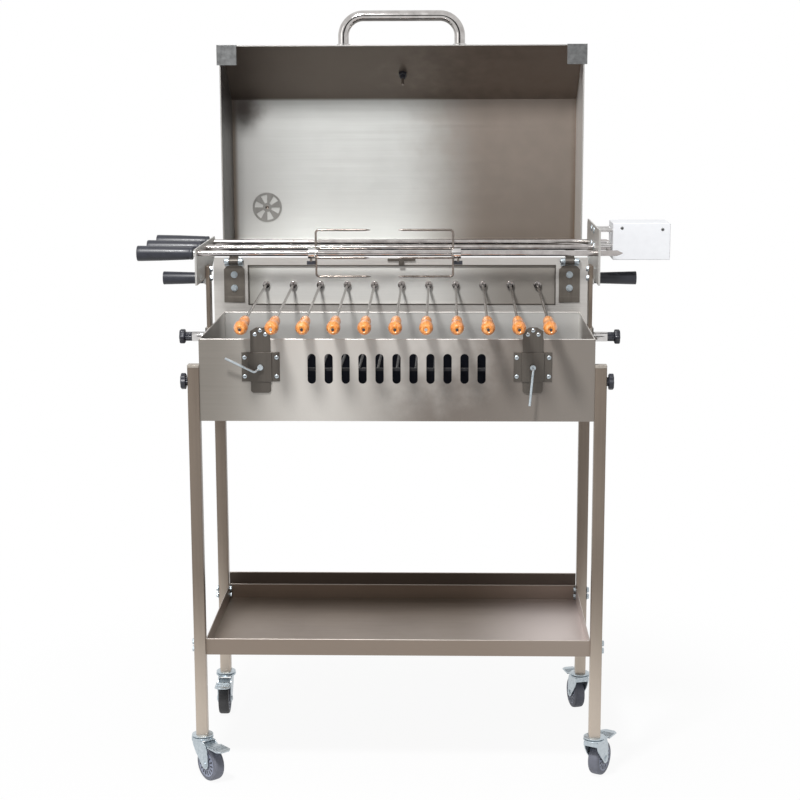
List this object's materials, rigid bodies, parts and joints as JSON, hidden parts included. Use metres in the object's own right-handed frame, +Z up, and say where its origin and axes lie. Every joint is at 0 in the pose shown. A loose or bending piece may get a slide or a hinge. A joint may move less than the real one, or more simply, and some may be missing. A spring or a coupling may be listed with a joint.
{
  "type": "spit roaster grill",
  "caption": "Charcoal spit roaster on a wheeled stand: slotted firebox, hinged hood, motor-driven large spits with meat forks, a row of geared small skewers, and a lower shelf.",
  "frame": {"origin": "on the floor, under the middle of the whole part's box with the hood open", "axes": "+Z up, +Y from the skewer grips to the opened hood at the back, +X to the motor"},
  "size_m": [1.139, 0.8264, 1.6595],
  "materials": {
    "stainless": "brushed",
    "galvanised": "satin",
    "dull_steel": "dull",
    "chrome": "polished",
    "black_plastic": "satin",
    "wood": "varnished",
    "white_paint": "satin",
    "zinc": "bright zinc",
    "tyre": "matte"
  },
  "bodies": {
    "stand": {"legs": "stainless", "leg_caps": "black_plastic", "leg_knobs": "black_plastic", "shelf": "stainless", "frame_fasteners": "zinc", "firebox": "stainless", "back_panel": "stainless", "hinge_plates": "dull_steel", "gearbox_case": "stainless", "gearbox_plate": "stainless", "drive_chain": "dull_steel", "clamp_plates": "dull_steel", "caster_mounts": "zinc", "upright_guides": "stainless"},
    "hood": {"hood_shell": "stainless", "hood_sides": "stainless", "hood_handle": "chrome", "hood_corners": "galvanised", "thermometer": "galvanised", "hood_hinge_leaves": "dull_steel"},
    "vent": {"vent_disc": "galvanised"},
    "carriage": {"uprights": "stainless", "end_plates": "stainless", "carriage_fasteners": "zinc", "lift_grips": "black_plastic", "motor_case": "white_paint"},
    "spit_front": {"spit_front": "chrome"},
    "spit_middle": {"spit_middle": "chrome"},
    "spit_rear": {"spit_rear": "chrome"},
    "fork_left": {"meat_fork_left": "chrome"},
    "fork_right": {"meat_fork_right": "chrome"},
    "grate_lift": {"charcoal_grate": "dull_steel", "slide_plates": "dull_steel"},
    "lever_left": {"clamp_lever_left": "zinc"},
    "lever_right": {"clamp_lever_right": "zinc"},
    "knob_left": {"star_knob_left": "black_plastic"},
    "knob_right": {"star_knob_right": "black_plastic"},
    "skewer_01": {"skewer_01": "wood"},
    "skewer_02": {"skewer_02": "wood"},
    "skewer_03": {"skewer_03": "wood"},
    "skewer_04": {"skewer_04": "wood"},
    "skewer_05": {"skewer_05": "wood"},
    "skewer_06": {"skewer_06": "wood"},
    "skewer_07": {"skewer_07": "wood"},
    "skewer_08": {"skewer_08": "wood"},
    "skewer_09": {"skewer_09": "wood"},
    "skewer_10": {"skewer_10": "wood"},
    "skewer_11": {"skewer_11": "wood"},
    "caster_fork_front_left": {"caster_fork_front_left": "zinc"},
    "caster_wheel_front_left": {"caster_wheel_front_left": "tyre"},
    "caster_pedal_front_left": {"caster_pedal_front_left": "zinc"},
    "caster_fork_front_right": {"caster_fork_front_right": "zinc"},
    "caster_wheel_front_right": {"caster_wheel_front_right": "tyre"},
    "caster_pedal_front_right": {"caster_pedal_front_right": "zinc"},
    "caster_fork_rear_left": {"caster_fork_rear_left": "zinc"},
    "caster_wheel_rear_left": {"caster_wheel_rear_left": "tyre"},
    "caster_pedal_rear_left": {"caster_pedal_rear_left": "zinc"},
    "caster_fork_rear_right": {"caster_fork_rear_right": "zinc"},
    "caster_wheel_rear_right": {"caster_wheel_rear_right": "tyre"},
    "caster_pedal_rear_right": {"caster_pedal_rear_right": "zinc"}
  },
  "joints": [
    {"name": "hood_hinge", "type": "hinge", "parent": "stand", "child": "hood", "pos_m": [0, 0.12121, 1.089], "axis": [1, 0, 0], "range_deg": [0, 90]},
    {"name": "vent_turn", "type": "hinge", "parent": "hood", "child": "vent", "pos_m": [-0.3535, 0.39951, 1.194], "axis": [0, 1, 0], "range_deg": [0, 30]},
    {"name": "carriage_slide", "type": "slide", "parent": "stand", "child": "carriage", "axis": [0, 0, 1], "range_m": [-0.04, 0]},
    {"name": "grate_slide", "type": "slide", "parent": "stand", "child": "grate_lift", "axis": [0, 0, 1], "range_m": [0, 0.015]},
    {"name": "fork_left_slide", "type": "slide", "parent": "spit_front", "child": "fork_left", "axis": [1, 0, 0], "range_m": [-0.15, 0.02]},
    {"name": "fork_right_slide", "type": "slide", "parent": "spit_front", "child": "fork_right", "axis": [1, 0, 0], "range_m": [-0.02, 0.15]},
    {"name": "lever_left_turn", "type": "hinge", "parent": "stand", "child": "lever_left", "pos_m": [-0.3015, -0.30649, 0.911], "axis": [0, 1, 0], "range_deg": [-45, 45]},
    {"name": "lever_right_turn", "type": "hinge", "parent": "stand", "child": "lever_right", "pos_m": [0.2685, -0.30649, 0.911], "axis": [0, 1, 0], "range_deg": [-45, 45]},
    {"name": "spit_front_turn", "type": "hinge", "parent": "carriage", "child": "spit_front", "pos_m": [-0.0165, -0.21549, 1.141], "axis": [1, 0, 0], "continuous": true},
    {"name": "spit_middle_turn", "type": "hinge", "parent": "carriage", "child": "spit_middle", "pos_m": [-0.0165, -0.08549, 1.141], "axis": [1, 0, 0], "continuous": true},
    {"name": "spit_rear_turn", "type": "hinge", "parent": "carriage", "child": "spit_rear", "pos_m": [-0.0165, 0.04451, 1.141], "axis": [1, 0, 0], "continuous": true},
    {"name": "knob_left_turn", "type": "hinge", "parent": "stand", "child": "knob_left", "pos_m": [-0.4565, -0.08549, 0.944], "axis": [1, 0, 0], "continuous": true},
    {"name": "knob_right_turn", "type": "hinge", "parent": "stand", "child": "knob_right", "pos_m": [0.4235, -0.08549, 0.944], "axis": [1, 0, 0], "continuous": true},
    {"name": "skewer_01_turn", "type": "hinge", "parent": "stand", "child": "skewer_01", "pos_m": [-0.3315, 0.13551, 1.034], "axis": [0, 0.9986, 0.0523], "continuous": true},
    {"name": "skewer_02_turn", "type": "hinge", "parent": "stand", "child": "skewer_02", "pos_m": [-0.2685, 0.13551, 1.034], "axis": [0, 0.9986, 0.0523], "continuous": true},
    {"name": "skewer_03_turn", "type": "hinge", "parent": "stand", "child": "skewer_03", "pos_m": [-0.2055, 0.13551, 1.034], "axis": [0, 0.9986, 0.0523], "continuous": true},
    {"name": "skewer_04_turn", "type": "hinge", "parent": "stand", "child": "skewer_04", "pos_m": [-0.1425, 0.13551, 1.034], "axis": [0, 0.9986, 0.0523], "continuous": true},
    {"name": "skewer_05_turn", "type": "hinge", "parent": "stand", "child": "skewer_05", "pos_m": [-0.0795, 0.13551, 1.034], "axis": [0, 0.9986, 0.0523], "continuous": true},
    {"name": "skewer_06_turn", "type": "hinge", "parent": "stand", "child": "skewer_06", "pos_m": [-0.0165, 0.13551, 1.034], "axis": [0, 0.9986, 0.0523], "continuous": true},
    {"name": "skewer_07_turn", "type": "hinge", "parent": "stand", "child": "skewer_07", "pos_m": [0.0465, 0.13551, 1.034], "axis": [0, 0.9986, 0.0523], "continuous": true},
    {"name": "skewer_08_turn", "type": "hinge", "parent": "stand", "child": "skewer_08", "pos_m": [0.1095, 0.13551, 1.034], "axis": [0, 0.9986, 0.0523], "continuous": true},
    {"name": "skewer_09_turn", "type": "hinge", "parent": "stand", "child": "skewer_09", "pos_m": [0.1725, 0.13551, 1.034], "axis": [0, 0.9986, 0.0523], "continuous": true},
    {"name": "skewer_10_turn", "type": "hinge", "parent": "stand", "child": "skewer_10", "pos_m": [0.2355, 0.13551, 1.034], "axis": [0, 0.9986, 0.0523], "continuous": true},
    {"name": "skewer_11_turn", "type": "hinge", "parent": "stand", "child": "skewer_11", "pos_m": [0.2985, 0.13551, 1.034], "axis": [0, 0.9986, 0.0523], "continuous": true},
    {"name": "swivel_front_left", "type": "hinge", "parent": "stand", "child": "caster_fork_front_left", "pos_m": [-0.444, -0.29299, 0.09], "axis": [0, 0, 1], "continuous": true},
    {"name": "roll_front_left", "type": "hinge", "parent": "caster_fork_front_left", "child": "caster_wheel_front_left", "pos_m": [-0.42432, -0.31563, 0.0375], "axis": [0.7547, 0.6561, 0], "continuous": true},
    {"name": "pedal_front_left", "type": "hinge", "parent": "caster_fork_front_left", "child": "caster_pedal_front_left", "pos_m": [-0.43416, -0.30431, 0.0773], "axis": [0.7547, 0.6561, 0], "range_deg": [-6, 7]},
    {"name": "swivel_front_right", "type": "hinge", "parent": "stand", "child": "caster_fork_front_right", "pos_m": [0.411, -0.29299, 0.09], "axis": [0, 0, 1], "continuous": true},
    {"name": "roll_front_right", "type": "hinge", "parent": "caster_fork_front_right", "child": "caster_wheel_front_right", "pos_m": [0.42554, -0.26675, 0.0375], "axis": [-0.8746, 0.4848, 0], "continuous": true},
    {"name": "pedal_front_right", "type": "hinge", "parent": "caster_fork_front_right", "child": "caster_pedal_front_right", "pos_m": [0.41827, -0.27987, 0.0773], "axis": [-0.8746, 0.4848, 0], "range_deg": [-6, 7]},
    {"name": "swivel_rear_left", "type": "hinge", "parent": "stand", "child": "caster_fork_rear_left", "pos_m": [-0.444, 0.12201, 0.09], "axis": [0, 0, 1], "continuous": true},
    {"name": "roll_rear_left", "type": "hinge", "parent": "caster_fork_rear_left", "child": "caster_wheel_rear_left", "pos_m": [-0.444, 0.09201, 0.0375], "axis": [1, 0, 0], "continuous": true},
    {"name": "pedal_rear_left", "type": "hinge", "parent": "caster_fork_rear_left", "child": "caster_pedal_rear_left", "pos_m": [-0.444, 0.10701, 0.0773], "axis": [1, 0, 0], "range_deg": [-6, 7]},
    {"name": "swivel_rear_right", "type": "hinge", "parent": "stand", "child": "caster_fork_rear_right", "pos_m": [0.411, 0.12201, 0.09], "axis": [0, 0, 1], "continuous": true},
    {"name": "roll_rear_right", "type": "hinge", "parent": "caster_fork_rear_right", "child": "caster_wheel_rear_right", "pos_m": [0.40374, 0.15112, 0.0375], "axis": [-0.9703, -0.2419, 0], "continuous": true},
    {"name": "pedal_rear_right", "type": "hinge", "parent": "caster_fork_rear_right", "child": "caster_pedal_rear_right", "pos_m": [0.40737, 0.13656, 0.0773], "axis": [-0.9703, -0.2419, 0], "range_deg": [-6, 7]}
  ],
  "couplings": [
    {"joint": "skewer_02_turn", "follows": "skewer_01_turn", "ratio": 1},
    {"joint": "skewer_03_turn", "follows": "skewer_01_turn", "ratio": 1},
    {"joint": "skewer_04_turn", "follows": "skewer_01_turn", "ratio": 1},
    {"joint": "skewer_05_turn", "follows": "skewer_01_turn", "ratio": 1},
    {"joint": "skewer_06_turn", "follows": "skewer_01_turn", "ratio": 1},
    {"joint": "skewer_07_turn", "follows": "skewer_01_turn", "ratio": 1},
    {"joint": "skewer_08_turn", "follows": "skewer_01_turn", "ratio": 1},
    {"joint": "skewer_09_turn", "follows": "skewer_01_turn", "ratio": 1},
    {"joint": "skewer_10_turn", "follows": "skewer_01_turn", "ratio": 1},
    {"joint": "skewer_11_turn", "follows": "skewer_01_turn", "ratio": 1}
  ]
}
